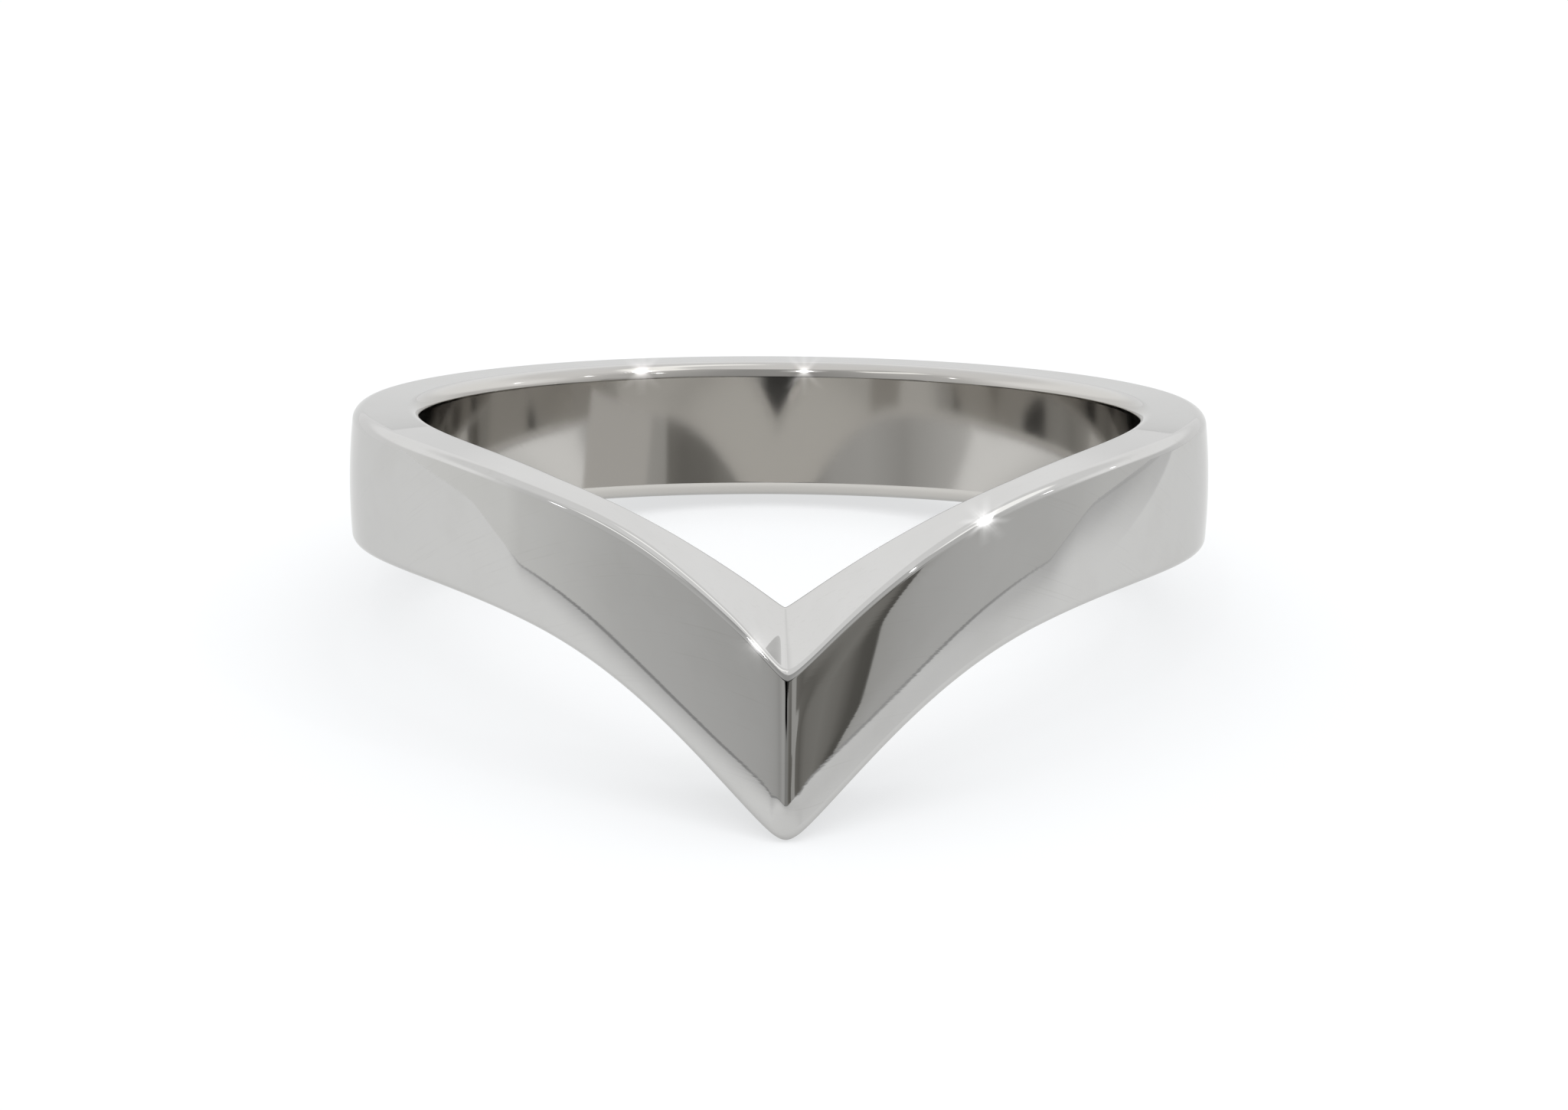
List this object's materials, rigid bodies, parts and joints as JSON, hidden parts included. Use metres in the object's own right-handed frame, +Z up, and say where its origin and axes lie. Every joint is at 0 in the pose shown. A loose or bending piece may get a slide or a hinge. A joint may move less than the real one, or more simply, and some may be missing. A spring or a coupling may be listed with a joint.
{
  "type": "chevron ring",
  "caption": "Plain polished white metal band that dips to a point at the front, with straight arms meeting in a crisp ridge and softly rounded inner edges.",
  "frame": {"origin": "on the surface that the ring lies on, under the centre of its outline box", "axes": "+X to the ring's right as seen from the point, +Y from the point to the back of the band, +Z up from the surface; the finger axis leans back from +Z by 13.7 degrees, because the ring lies on its tip and on the back of the band"},
  "size_m": [0.0206, 0.0236, 0.0068],
  "materials": {
    "polished_white_metal": "bright hand polish"
  },
  "bodies": {
    "root": {"chevron_band": "polished_white_metal"}
  },
  "joints": []
}
